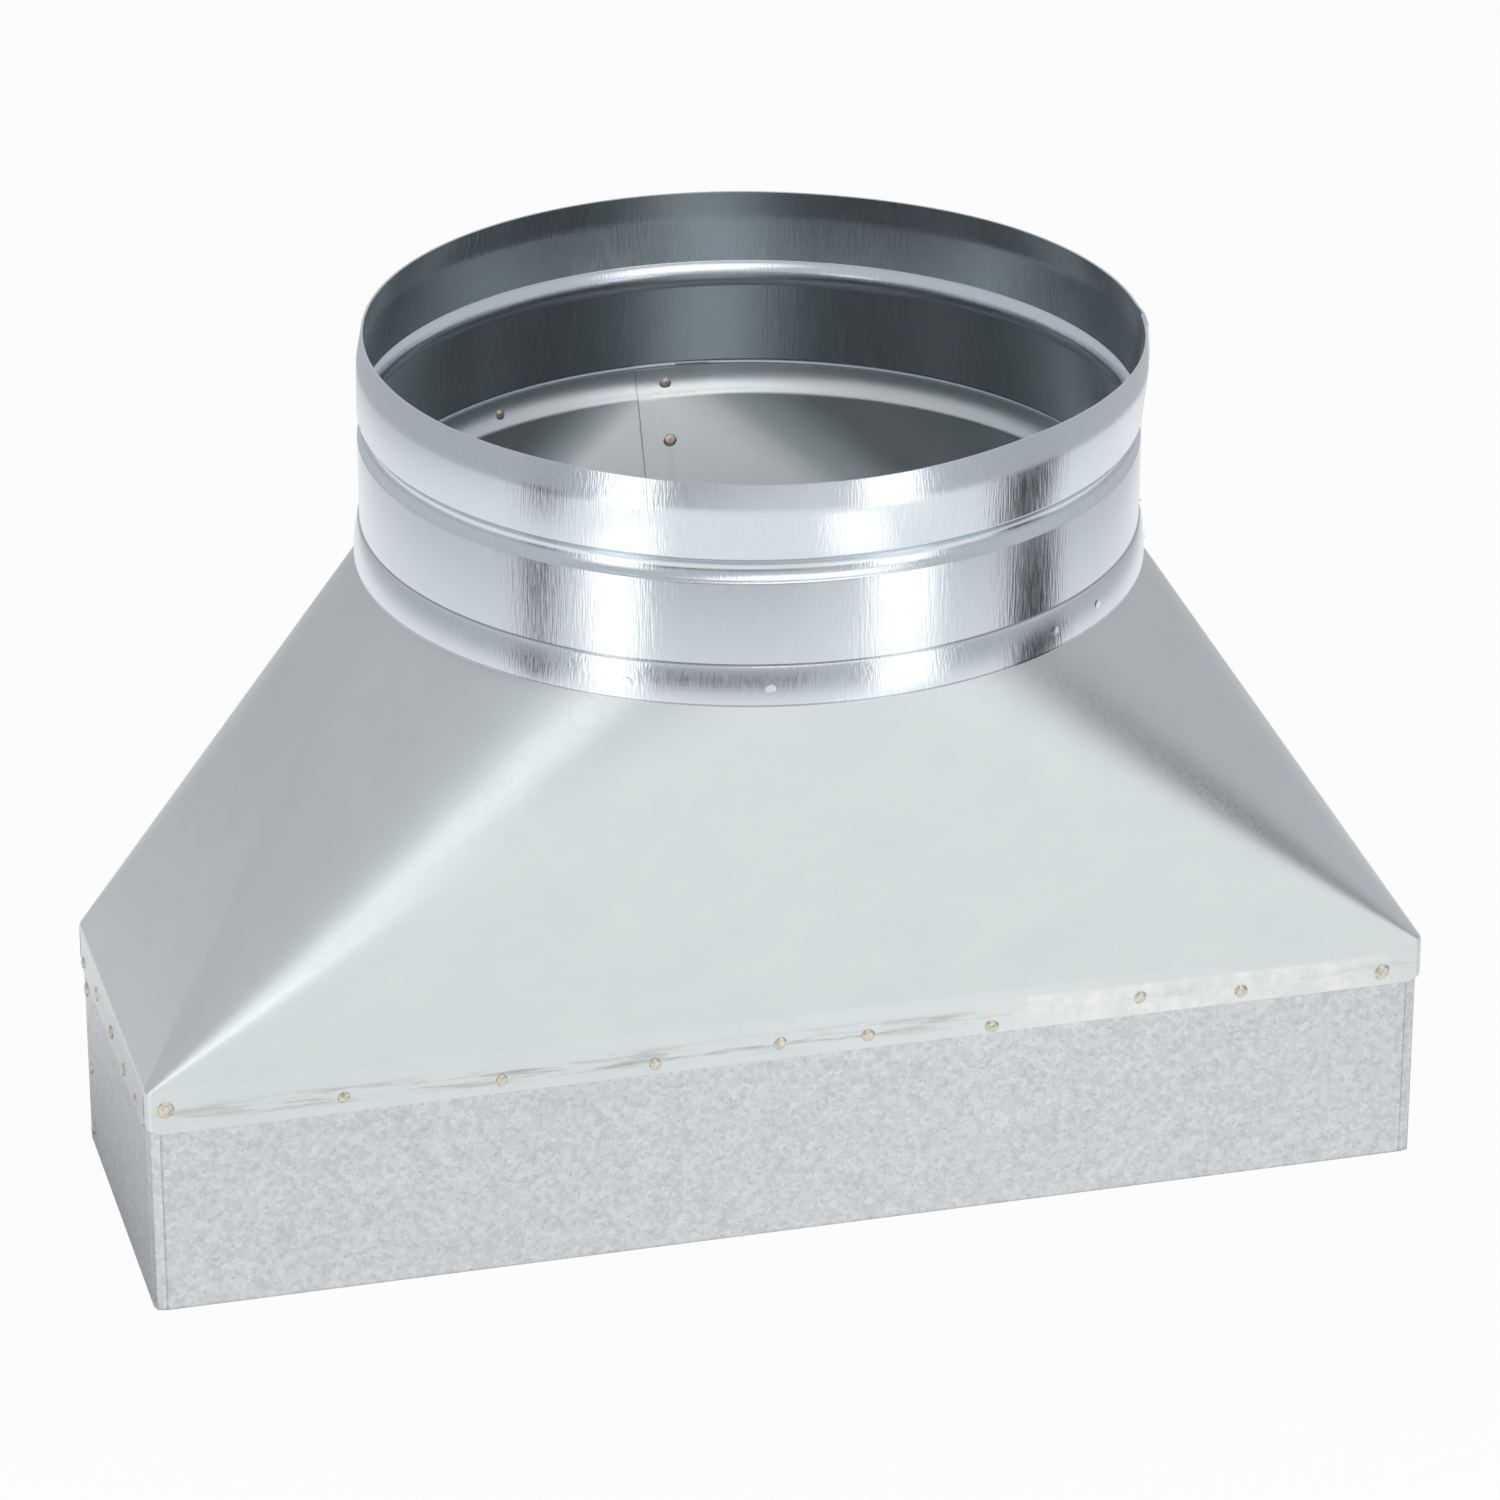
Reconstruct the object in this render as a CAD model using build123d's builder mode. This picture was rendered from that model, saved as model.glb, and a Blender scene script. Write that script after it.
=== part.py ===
from build123d import *
import os
from math import cos, hypot, radians, sin, sqrt

# Flat duct adapter: a round spigot carried by a square-to-round body on a flat rectangular spigot.
# Millimetres, +Z up. The origin is the middle of the flat spigot's open end, which stands on Z = 0.
# +X runs along the long side of the flat spigot, and the front is -Y.
# All three pieces are galvanised sheet, lapped over each other and spot-welded.

# Ducts that the two ends slide into
round_duct_bore = 250.0
round_clearance = 0.6
flat_duct_length = 425.0
flat_duct_width = 125.0
flat_clearance = 0.75

# Sheet and laps
sheet = 0.7
lap_gap = 0.1        # between the flat spigot and the sheets that lap it
neck_gap = 0.1       # between the neck and the collar
spigot_lap = 15.0    # end of the flat spigot's strip, tucked behind its left wall
body_lap = 14.0      # ends of the body's sheet, at the middle of the back
lap_fade = 14.0      # run in which the inner end comes out to the line of the wall
seam_gap = 0.3       # between the two ends where they meet on the skirt

# Heights, from the flat end up to the round rim
spigot_depth = 64.0
skirt_height = 15.0
body_height = 139.0
neck_height = 12.0
joggle_height = 1.5
lower_wall = 27.0
bead_width = 8.0
upper_wall = 16.0
lip_height = 9.0

# Bends and forms
spigot_bend = 1.6
skirt_bend_inside = 1.7
seam_setback = 2.4       # free edge of the left wall, short of the back corner
spigot_top_step = 1.0    # top edge of the flat spigot, below the body's lower bend
corner_folds = 14        # narrow flat steps that turn each corner of the body
neck_flat = 0.2          # blunt tip of each flat triangle
neck_step = 0.3          # neck inside the line of the collar's wall
bell_foot_gap = 0.5      # foot of the collar, above the body's upper bend
bell_flare = 1.5
bead_depth = 2.5
lip_taper = 1.6

# Slits that part the skirt into four tabs
slit_width = 1.2
slit_top = 2.0
slit_mouth_width = 9.0
slit_mouth_height = 3.5

# Sizes that follow
spigot_length = flat_duct_length - 2 * flat_clearance
spigot_width = flat_duct_width - 2 * flat_clearance
skirt_length = spigot_length + 2 * (sheet + lap_gap)
skirt_width = spigot_width + 2 * (sheet + lap_gap)
skirt_bend = skirt_bend_inside + sheet
collar_radius = round_duct_bore / 2 - round_clearance
neck_radius = collar_radius - neck_step
bell_radius = neck_radius + neck_gap + sheet
lap_sink = sheet / 2
slit_place = skirt_width / 2 - skirt_bend - slit_width / 2
slit_mouth_side = hypot(slit_mouth_width / 2, slit_mouth_height)

# Heights that follow
skirt_bottom = spigot_depth
skirt_top = skirt_bottom + skirt_height
spigot_height = skirt_top - spigot_top_step
neck_bottom = skirt_top + body_height
neck_top = neck_bottom + neck_height
bell_bottom = neck_bottom + bell_foot_gap
bell_top = neck_top + neck_gap
wall_bottom = bell_top + joggle_height
bead_bottom = wall_bottom + lower_wall
bead_top = bead_bottom + bead_width
lip_bottom = bead_top + upper_wall
rim = lip_bottom + lip_height

os.makedirs("parts", exist_ok=True)


def fold_points(length, width, bend, height):
    """Points round a rectangle with folded corners, at one height, the same number for any size."""
    points = []
    for corner, (side, end) in enumerate(((1, 1), (-1, 1), (-1, -1), (1, -1))):
        x = side * (length / 2 - bend)
        y = end * (width / 2 - bend)
        for fold in range(corner_folds + 1):
            angle = radians(90 * (corner + fold / corner_folds))
            points.append((x + bend * cos(angle), y + bend * sin(angle), height))
    return points


def folded_form(inset, run_on):
    """Closed form of the body, with every wall moved in by inset and both ends run on by run_on."""
    skirt = (skirt_length - 2 * inset, skirt_width - 2 * inset, skirt_bend - inset)
    neck_across = 2 * (neck_radius - inset)
    neck = (neck_across, neck_across, (neck_across - neck_flat) / 2)
    rings = (
        fold_points(*skirt, skirt_bottom - run_on),
        fold_points(*skirt, skirt_top),
        fold_points(*neck, neck_bottom),
        fold_points(*neck, neck_top + run_on),
    )
    walls = [Face(Wire.make_polygon(rings[0])), Face(Wire.make_polygon(rings[-1]))]
    for low, high in zip(rings, rings[1:]):
        for i in range(len(low)):
            corners = (low[i - 1], low[i], high[i], high[i - 1])
            walls.append(Face(Wire.make_polygon(corners)))
    return Solid(Shell(walls))


def lap_outline(steps, wall):
    """Outline, seen from above, of a lap that stands in by the depth at each step of x from y = wall(x)."""
    sunk = [(x, wall(x) + lap_sink) for x, depth in steps]
    proud = [(x, wall(x) - depth) for x, depth in steps]
    Polygon(*sunk, *reversed(proud), align=None)


# Flat spigot: one strip folded to a rectangle, its end tucked behind the left wall as a lap
with BuildPart() as rect_spigot:
    with BuildSketch() as spigot_section:
        with BuildLine() as spigot_strip:
            left = -(spigot_length - sheet) / 2
            right = (spigot_length - sheet) / 2
            front = -(spigot_width - sheet) / 2
            back = (spigot_width - sheet) / 2
            tucked = left + sheet + lap_gap
            FilletPolyline(
                (left, back - seam_setback),
                (left, front),
                (right, front),
                (right, back),
                (tucked, back),
                (tucked, back - spigot_lap),
                radius=spigot_bend - sheet / 2,
            )
        trace(line_width=sheet)
    extrude(amount=spigot_height)

# Body: one folded sheet with four flat triangles, corners folded in narrow steps, a skirt and a neck.
# Its ends lap at the middle of the back. The inner end comes in from the right, a sheet's thickness deep
# behind the outer end, and on the skirt the two ends meet edge to edge.
with BuildPart() as transition_body:
    add(folded_form(0, 0))
    add(folded_form(sheet, sheet), mode=Mode.SUBTRACT)
    inner_end = ((-body_lap / 2, sheet), (body_lap / 2, sheet), (body_lap / 2 + lap_fade, 0))
    beside_outer_end = inner_end[1:]
    back_lean = neck_radius - skirt_width / 2
    back_slope = hypot(back_lean, body_height)
    with BuildSketch(Plane.XY.offset(skirt_top)):
        lap_outline(inner_end, lambda x: skirt_width / 2 - sheet)
    extrude(amount=back_slope, dir=(0, back_lean, body_height))
    with BuildSketch(Plane.XY.offset(skirt_top)):
        lap_outline(beside_outer_end, lambda x: skirt_width / 2)
    extrude(amount=back_slope, dir=(0, back_lean, body_height), mode=Mode.SUBTRACT)
    with BuildSketch(Plane.XY.offset(neck_bottom)):
        lap_outline(inner_end, lambda x: sqrt((neck_radius - sheet) ** 2 - x**2))
    extrude(amount=neck_height)
    with BuildSketch(Plane.XY.offset(skirt_bottom)):
        with Locations((body_lap / 2, skirt_width / 2)):
            Rectangle(seam_gap, 2 * skirt_bend, align=(Align.MIN, Align.CENTER))
    extrude(amount=skirt_height, mode=Mode.SUBTRACT)
    for end_wall in (-skirt_length / 2, skirt_length / 2):
        with BuildSketch(Plane.YZ.offset(end_wall)) as slits:
            with Locations((-slit_place, skirt_bottom), (slit_place, skirt_bottom)):
                Rectangle(slit_width, skirt_height - slit_top, align=(Align.CENTER, Align.MIN))
                Triangle(
                    a=slit_mouth_width,
                    b=slit_mouth_side,
                    c=slit_mouth_side,
                    align=(Align.CENTER, Align.MIN),
                )
        extrude(amount=skirt_bend, both=True, mode=Mode.SUBTRACT)

# Round collar: a rolled band, belled out over the neck, with a bead and a lip tapered in to lead
with BuildPart() as round_collar:
    with BuildSketch(Plane.XZ) as collar_section:
        with BuildLine() as collar_outside:
            bell = TangentArc(
                (bell_radius + bell_flare, bell_bottom),
                (bell_radius, bell_top),
                tangent=(0, 1),
            )
            joggle = Line(bell @ 1, (collar_radius, wall_bottom))
            lower = Line(joggle @ 1, (collar_radius, bead_bottom))
            bead = ThreePointArc(
                lower @ 1,
                (collar_radius - bead_depth, bead_bottom + bead_width / 2),
                (collar_radius, bead_top),
            )
            upper = Line(bead @ 1, (collar_radius, lip_bottom))
            lip = Line(upper @ 1, (collar_radius - lip_taper, rim))
            offset(amount=sheet, side=Side.LEFT, kind=Kind.INTERSECTION)
        make_face()
    revolve(axis=Axis.Z)

rect_spigot.part.label = "rect_spigot"
transition_body.part.label = "transition_body"
round_collar.part.label = "round_collar"

for piece in (rect_spigot, transition_body, round_collar):
    export_step(piece.part, f"parts/{piece.part.label}.step")
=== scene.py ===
"""Dresses the flat duct adapter: three pieces of galvanised sheet, their spot welds and the studio.

All sizes are in millimetres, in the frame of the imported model: +X along the flat spigot,
the front at -Y, +Z up the round collar's axis, and the flat spigot standing on Z = 0.
"""

import logging
import random
from dataclasses import dataclass, field
from enum import Enum
from math import atan, cos, hypot, pi, radians, sin

import bmesh
import bpy
from bmesh.types import BMEdge, BMesh, BMVert
from bpy.types import Material, Node, NodeSocket, NodeTree, Object, World
from mathutils import Matrix, Vector


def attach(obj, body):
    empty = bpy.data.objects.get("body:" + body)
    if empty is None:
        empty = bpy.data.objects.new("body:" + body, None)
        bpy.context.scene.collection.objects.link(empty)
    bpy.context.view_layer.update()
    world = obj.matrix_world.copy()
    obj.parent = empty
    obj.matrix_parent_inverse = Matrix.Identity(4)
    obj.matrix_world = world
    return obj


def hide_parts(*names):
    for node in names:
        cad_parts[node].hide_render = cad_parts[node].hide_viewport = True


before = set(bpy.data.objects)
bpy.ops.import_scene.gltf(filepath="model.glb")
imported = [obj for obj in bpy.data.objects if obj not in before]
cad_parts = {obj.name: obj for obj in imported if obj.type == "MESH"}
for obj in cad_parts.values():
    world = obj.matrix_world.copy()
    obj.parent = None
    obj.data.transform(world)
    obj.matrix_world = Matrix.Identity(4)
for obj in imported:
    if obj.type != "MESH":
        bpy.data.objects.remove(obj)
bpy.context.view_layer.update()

LOG = logging.getLogger("duct_adapter")
MM = 0.001
SHEET = 0.7
SMOOTH_ANGLE = radians(35)


class Slot(Enum):
    """The record's finishes."""

    SPANGLED = "spangled_zinc"
    SATIN = "satin_zinc"
    BRIGHT = "bright_zinc"


# Shared helpers


def colour(hex_code: str) -> tuple[float, float, float, float]:
    """Turns an sRGB hex colour into linear RGBA.

    Args:
        hex_code: Six hex digits after a hash.

    Returns:
        Linear red, green, blue and an alpha of 1.
    """
    channels = [int(hex_code[start : start + 2], 16) / 255 for start in (1, 3, 5)]
    linear = [c / 12.92 if c <= 0.04045 else ((c + 0.055) / 1.055) ** 2.4 for c in channels]
    return (*linear, 1.0)


def per_mm(size: float) -> float:
    """Texture scale that makes one feature of a pattern this many millimetres wide."""
    return 1 / (size * MM)


def add_node(tree: NodeTree, kind: str, inputs: dict | None = None, **settings) -> Node:
    """Adds a node with its settings, values and links.

    Args:
        tree: The node tree that gets the node.
        kind: The node's type.
        inputs: Values or output sockets for its inputs, by name or index.
        settings: Attributes of the node.

    Returns:
        The new node.
    """
    node = tree.nodes.new(kind)
    for name, value in settings.items():
        setattr(node, name, value)
    for key, value in (inputs or {}).items():
        if isinstance(value, NodeSocket):
            tree.links.new(value, node.inputs[key])
        else:
            node.inputs[key].default_value = value
    return node


def empty_tree(owner: Material | World) -> NodeTree:
    """Turns on the nodes of a material or of the world, and clears them.

    Args:
        owner: The material or the world.

    Returns:
        Its empty node tree.
    """
    owner.use_nodes = True
    owner.node_tree.nodes.clear()
    return owner.node_tree


def arc(start: Vector, end: Vector, rise: float, steps: int) -> list[Vector]:
    """Points along a circular arc in the XZ plane.

    Args:
        start: First point.
        end: Last point.
        rise: How far the middle stands out of the chord, to the right of the way from start to end.
        steps: How many pieces the arc has.

    Returns:
        The points, both ends included.
    """
    chord = end - start
    along = chord.normalized()
    across = Vector((along.z, 0, -along.x))
    half = 2 * atan(2 * abs(rise) / chord.length)
    radius = chord.length / (2 * sin(half))
    side = 1 if rise > 0 else -1
    points = []
    for step in range(steps + 1):
        angle = half * (2 * step / steps - 1)
        height = radius * (cos(angle) - cos(half))
        points.append((start + end) / 2 + along * radius * sin(angle) + across * side * height)
    return points


def soften(line: list[Vector], reach: float, steps: int = 4) -> list[Vector]:
    """Rounds each inner corner of an open line with a short curve.

    Args:
        line: Points of the line.
        reach: How far from the corner the curve starts and ends.
        steps: How many pieces each curve has.

    Returns:
        Points of the softened line, the same number for every line of as many corners.
    """
    softened = [line[0]]
    for before, corner, after in zip(line, line[1:], line[2:]):
        start = corner + (before - corner).normalized() * reach
        end = corner + (after - corner).normalized() * reach
        for step in range(steps + 1):
            share = step / steps
            softened.append(start.lerp(corner, share).lerp(corner.lerp(end, share), share))
    softened.append(line[-1])
    return softened


def wire(mesh: BMesh, points: list[Vector], closed: bool) -> list[BMEdge]:
    """Lays a line of edges through some points, and numbers its vertices on the layer "step".

    Args:
        mesh: The mesh that gets the line.
        points: Points in millimetres.
        closed: Whether the last point joins the first.

    Returns:
        The edges, in order.
    """
    step = mesh.verts.layers.int.get("step") or mesh.verts.layers.int.new("step")
    corners = [mesh.verts.new(point * MM) for point in points]
    for number, corner in enumerate(corners):
        corner[step] = number
    ends = corners[1:] + corners[:1] if closed else corners[1:]
    return [mesh.edges.new(pair) for pair in zip(corners, ends)]


def extrude_to(mesh: BMesh, edges: list[BMEdge], points: list[Vector]) -> list[BMEdge]:
    """Extrudes a numbered line of edges to a new row of points.

    Args:
        mesh: The mesh that holds the line.
        edges: The line's edges.
        points: Where the new row goes, by the vertices' numbers, in millimetres.

    Returns:
        The new row's edges.
    """
    step = mesh.verts.layers.int["step"]
    grown = bmesh.ops.extrude_edge_only(mesh, edges=edges)["geom"]
    for item in grown:
        if isinstance(item, BMVert):
            item.co = points[item[step]] * MM
    return [item for item in grown if isinstance(item, BMEdge)]


def face_outwards(mesh: BMesh) -> None:
    """Turns an open shell's faces away from the part's axis."""
    bmesh.ops.recalc_face_normals(mesh, faces=mesh.faces)
    away = 0.0
    for face in mesh.faces:
        middle = face.calc_center_median()
        away += face.calc_area() * face.normal.dot(Vector((middle.x, middle.y, 0)))
    if away < 0:
        bmesh.ops.reverse_faces(mesh, faces=mesh.faces)


def thicken(mesh: BMesh, thickness: float) -> None:
    """Gives an open shell its sheet thickness, on its inner side."""
    bmesh.ops.solidify(mesh, geom=mesh.faces[:], thickness=thickness * MM)
    bmesh.ops.recalc_face_normals(mesh, faces=mesh.faces)


def add_object(name: str, mesh: BMesh, material: Material) -> Object:
    """Puts a mesh into the scene.

    Args:
        name: The object's name.
        mesh: Its shape, which is freed here.
        material: What it is made of.

    Returns:
        The object.
    """
    data = bpy.data.meshes.new(name)
    mesh.to_mesh(data)
    mesh.free()
    data.materials.append(material)
    added = bpy.data.objects.new(name, data)
    bpy.context.scene.collection.objects.link(added)
    return added


def make_piece(name: str, mesh: BMesh, finish: "Finish", node: str | None = None) -> Object:
    """Turns a mesh into a dressed piece that rides on the part.

    Args:
        name: The piece's name.
        mesh: Its shape, which is freed here.
        finish: What it is made of.
        node: The solid that it stands for, if any.

    Returns:
        The piece.
    """
    piece = add_object(name, mesh, finish.material())
    piece.data.shade_smooth()
    piece.data.set_sharp_from_angle(angle=SMOOTH_ANGLE)
    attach(piece, "root")
    if node:
        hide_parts(node)
    return piece


# Finishes


@dataclass(frozen=True)
class Finish:
    """A metal surface, painted by the classes below.

    Attributes:
        name: The real material's name.
        roughness: Middle roughness of the surface.
    """

    name: str
    roughness: float

    def material(self) -> Material:
        """Gives the finish's material, made the first time that it is asked for."""
        material = bpy.data.materials.get(self.name)
        if material:
            return material
        material = bpy.data.materials.new(self.name)
        tree = empty_tree(material)
        place = add_node(tree, "ShaderNodeTexCoord").outputs["Object"]
        shader = add_node(tree, "ShaderNodeBsdfPrincipled", {"Metallic": 1.0, "Roughness": self.roughness})
        add_node(tree, "ShaderNodeOutputMaterial", {"Surface": shader.outputs["BSDF"]})
        self.paint(tree, shader, place)
        return material

    def paint(self, tree: NodeTree, shader: Node, place: NodeSocket) -> None:
        """Adds the finish's own pattern.

        Args:
            tree: The material's nodes.
            shader: Its surface shader.
            place: Object coordinates.
        """
        raise NotImplementedError


@dataclass(frozen=True)
class SpangledZinc(Finish):
    """Hot-dip galvanised sheet. The zinc froze in small crystals, so the grey is mottled and flecked."""

    light: str = "#DCDFE0"
    dark: str = "#C3C8CC"
    fleck: str = "#A6ACB1"
    crystal_size: float = 1.5
    cloud_size: float = 3.8
    fleck_size: float = 0.9
    crystal_warp: float = 2.2
    crystal_share: float = 0.35
    crystal_tilt: float = 0.02
    tones: tuple = (0.42, 0.92)
    fleck_edge: tuple = (0.60, 0.74)
    fleck_strength: float = 0.8
    gloss_below: float = 0.08
    gloss_above: float = 0.1

    def paint(self, tree: NodeTree, shader: Node, place: NodeSocket) -> None:
        """Adds crystals, clouds between them and dark flecks."""
        warp = add_node(
            tree, "ShaderNodeTexNoise", {"Vector": place, "Scale": per_mm(self.crystal_size), "Detail": 2.0}
        )
        bent_place = add_node(
            tree,
            "ShaderNodeVectorMath",
            {0: warp.outputs["Color"], 1: (self.crystal_warp * MM,) * 3, 2: place},
            operation="MULTIPLY_ADD",
        )
        crystals = add_node(
            tree,
            "ShaderNodeTexVoronoi",
            {"Vector": bent_place.outputs[0], "Scale": per_mm(self.crystal_size)},
        )
        grey = add_node(tree, "ShaderNodeSeparateColor", {0: crystals.outputs["Color"]})
        clouds = add_node(
            tree,
            "ShaderNodeTexNoise",
            {"Vector": place, "Scale": per_mm(self.cloud_size), "Detail": 6.0, "Roughness": 0.72},
        )
        mottle = add_node(
            tree,
            "ShaderNodeMath",
            {0: grey.outputs[0], 1: self.crystal_share, 2: clouds.outputs["Fac"]},
            operation="MULTIPLY_ADD",
        )
        tone = add_node(
            tree,
            "ShaderNodeMapRange",
            {"Value": mottle.outputs[0], "From Min": self.tones[0], "From Max": self.tones[1]},
        )
        base = add_node(
            tree,
            "ShaderNodeMix",
            {0: tone.outputs[0], 6: colour(self.dark), 7: colour(self.light)},
            data_type="RGBA",
        )
        flecks = add_node(
            tree,
            "ShaderNodeTexNoise",
            {"Vector": place, "Scale": per_mm(self.fleck_size), "Detail": 3.0, "Roughness": 0.6},
        )
        fleck_mask = add_node(
            tree,
            "ShaderNodeMapRange",
            {
                "Value": flecks.outputs["Fac"],
                "From Min": self.fleck_edge[0],
                "From Max": self.fleck_edge[1],
                "To Max": self.fleck_strength,
            },
        )
        flecked = add_node(
            tree,
            "ShaderNodeMix",
            {0: fleck_mask.outputs[0], 6: base.outputs[2], 7: colour(self.fleck)},
            data_type="RGBA",
        )
        tree.links.new(flecked.outputs[2], shader.inputs["Base Color"])
        gloss = add_node(
            tree,
            "ShaderNodeMapRange",
            {
                "Value": grey.outputs[1],
                "To Min": self.roughness - self.gloss_below,
                "To Max": self.roughness + self.gloss_above,
            },
        )
        tree.links.new(gloss.outputs[0], shader.inputs["Roughness"])
        tilt = add_node(
            tree,
            "ShaderNodeBump",
            {"Height": clouds.outputs["Fac"], "Strength": 0.5, "Distance": self.crystal_tilt * MM},
        )
        tree.links.new(tilt.outputs[0], shader.inputs["Normal"])


@dataclass(frozen=True)
class SatinZinc(Finish):
    """Smooth galvanised sheet. Skin-passed rolls leave an even satin, scuffed where the welder ran."""

    light: str = "#DEE5E5"
    dark: str = "#D4DBDC"
    scuff: str = "#A4A7A4"
    flux: str = "#F1F1EC"
    cloud_size: float = 26.0
    grain_size: float = 1.1
    scuff_length: float = 30.0
    scuff_height: float = 2.4
    scuff_edge: tuple = (0.48, 0.66)
    scuff_strength: float = 0.7
    scuff_elsewhere: float = 0.35
    scuff_dulling: float = 0.2
    scuff_band: tuple = (67.5, 73.0, 1.5)
    scuff_run: tuple = (-195.0, 60.0, 25.0)
    spatter_size: float = 6.0
    spatter_edge: tuple = (0.4, 0.66)
    spatter_strength: tuple = (0.2, 0.85)
    flux_band: tuple = (62.0, 75.0, 1.0)
    flux_run: tuple = (68.0, 200.0, 16.0)
    grain_edge: tuple = (0.3, 0.7)
    gloss_below: float = 0.03
    gloss_above: float = 0.05
    ripple_depth: float = 0.12
    crinkle_depth: float = 0.35

    def band(
        self, tree: NodeTree, value: NodeSocket, low: float, high: float, fade: float
    ) -> NodeSocket:
        """Makes a mask that is 1 between two places along an axis.

        Args:
            tree: The material's nodes.
            value: The coordinate.
            low: Where the band starts.
            high: Where it ends.
            fade: Width of its soft edges.

        Returns:
            The mask.
        """
        rise = add_node(
            tree,
            "ShaderNodeMapRange",
            {"Value": value, "From Min": (low - fade) * MM, "From Max": (low + fade) * MM},
            interpolation_type="SMOOTHSTEP",
        )
        fall = add_node(
            tree,
            "ShaderNodeMapRange",
            {
                "Value": value,
                "From Min": (high - fade) * MM,
                "From Max": (high + fade) * MM,
                "To Min": 1.0,
                "To Max": 0.0,
            },
            interpolation_type="SMOOTHSTEP",
        )
        both = add_node(
            tree, "ShaderNodeMath", {0: rise.outputs[0], 1: fall.outputs[0]}, operation="MULTIPLY"
        )
        return both.outputs[0]

    def paint(self, tree: NodeTree, shader: Node, place: NodeSocket) -> None:
        """Adds soft clouds, a fine grain, and scuffs and flux along the welded skirt."""
        clouds = add_node(
            tree,
            "ShaderNodeTexNoise",
            {"Vector": place, "Scale": per_mm(self.cloud_size), "Detail": 5.0, "Roughness": 0.6},
        )
        base = add_node(
            tree,
            "ShaderNodeMix",
            {0: clouds.outputs["Fac"], 6: colour(self.dark), 7: colour(self.light)},
            data_type="RGBA",
        )
        axes = add_node(tree, "ShaderNodeSeparateXYZ", {0: place})
        rubbed = self.band(tree, axes.outputs["Z"], *self.scuff_band)
        stretch = add_node(
            tree,
            "ShaderNodeMapping",
            {
                "Vector": place,
                "Scale": (per_mm(self.scuff_length), per_mm(self.scuff_length), per_mm(self.scuff_height)),
            },
        )
        strokes = add_node(
            tree,
            "ShaderNodeTexNoise",
            {"Vector": stretch.outputs[0], "Scale": 1.0, "Detail": 5.0, "Roughness": 0.65},
        )
        stroke_mask = add_node(
            tree,
            "ShaderNodeMapRange",
            {
                "Value": strokes.outputs["Fac"],
                "From Min": self.scuff_edge[0],
                "From Max": self.scuff_edge[1],
                "To Max": self.scuff_strength,
            },
        )
        left = self.band(tree, axes.outputs["X"], *self.scuff_run)
        where = add_node(
            tree, "ShaderNodeMapRange", {"Value": left, "To Min": self.scuff_elsewhere, "To Max": 1.0}
        )
        on_rubbed = add_node(
            tree, "ShaderNodeMath", {0: rubbed, 1: where.outputs[0]}, operation="MULTIPLY"
        )
        scuffs = add_node(
            tree,
            "ShaderNodeMath",
            {0: on_rubbed.outputs[0], 1: stroke_mask.outputs[0]},
            operation="MULTIPLY",
        )
        scuffed = add_node(
            tree,
            "ShaderNodeMix",
            {0: scuffs.outputs[0], 6: base.outputs[2], 7: colour(self.scuff)},
            data_type="RGBA",
        )
        skirt = self.band(tree, axes.outputs["Z"], *self.flux_band)
        right = self.band(tree, axes.outputs["X"], *self.flux_run)
        spatter = add_node(
            tree,
            "ShaderNodeTexNoise",
            {"Vector": place, "Scale": per_mm(self.spatter_size), "Detail": 5.0, "Roughness": 0.65},
        )
        spatter_mask = add_node(
            tree,
            "ShaderNodeMapRange",
            {
                "Value": spatter.outputs["Fac"],
                "From Min": self.spatter_edge[0],
                "From Max": self.spatter_edge[1],
                "To Min": self.spatter_strength[0],
                "To Max": self.spatter_strength[1],
            },
        )
        on_skirt = add_node(tree, "ShaderNodeMath", {0: skirt, 1: right}, operation="MULTIPLY")
        crust = add_node(
            tree,
            "ShaderNodeMath",
            {0: on_skirt.outputs[0], 1: spatter_mask.outputs[0]},
            operation="MULTIPLY",
        )
        fluxed = add_node(
            tree,
            "ShaderNodeMix",
            {0: crust.outputs[0], 6: scuffed.outputs[2], 7: colour(self.flux)},
            data_type="RGBA",
        )
        tree.links.new(fluxed.outputs[2], shader.inputs["Base Color"])
        grain = add_node(
            tree,
            "ShaderNodeTexNoise",
            {"Vector": place, "Scale": per_mm(self.grain_size), "Detail": 3.0},
        )
        gloss = add_node(
            tree,
            "ShaderNodeMapRange",
            {
                "Value": grain.outputs["Fac"],
                "From Min": self.grain_edge[0],
                "From Max": self.grain_edge[1],
                "To Min": self.roughness - self.gloss_below,
                "To Max": self.roughness + self.gloss_above,
            },
        )
        worn = add_node(
            tree,
            "ShaderNodeMath",
            {0: scuffs.outputs[0], 1: self.scuff_dulling, 2: gloss.outputs[0]},
            operation="MULTIPLY_ADD",
        )
        tree.links.new(worn.outputs[0], shader.inputs["Roughness"])
        ripples = add_node(
            tree,
            "ShaderNodeBump",
            {"Height": clouds.outputs["Fac"], "Strength": 0.6, "Distance": self.ripple_depth * MM},
        )
        crinkles = add_node(
            tree,
            "ShaderNodeBump",
            {
                "Height": crust.outputs[0],
                "Strength": 0.5,
                "Distance": self.crinkle_depth * MM,
                "Normal": ripples.outputs[0],
            },
        )
        tree.links.new(crinkles.outputs[0], shader.inputs["Normal"])


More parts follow.
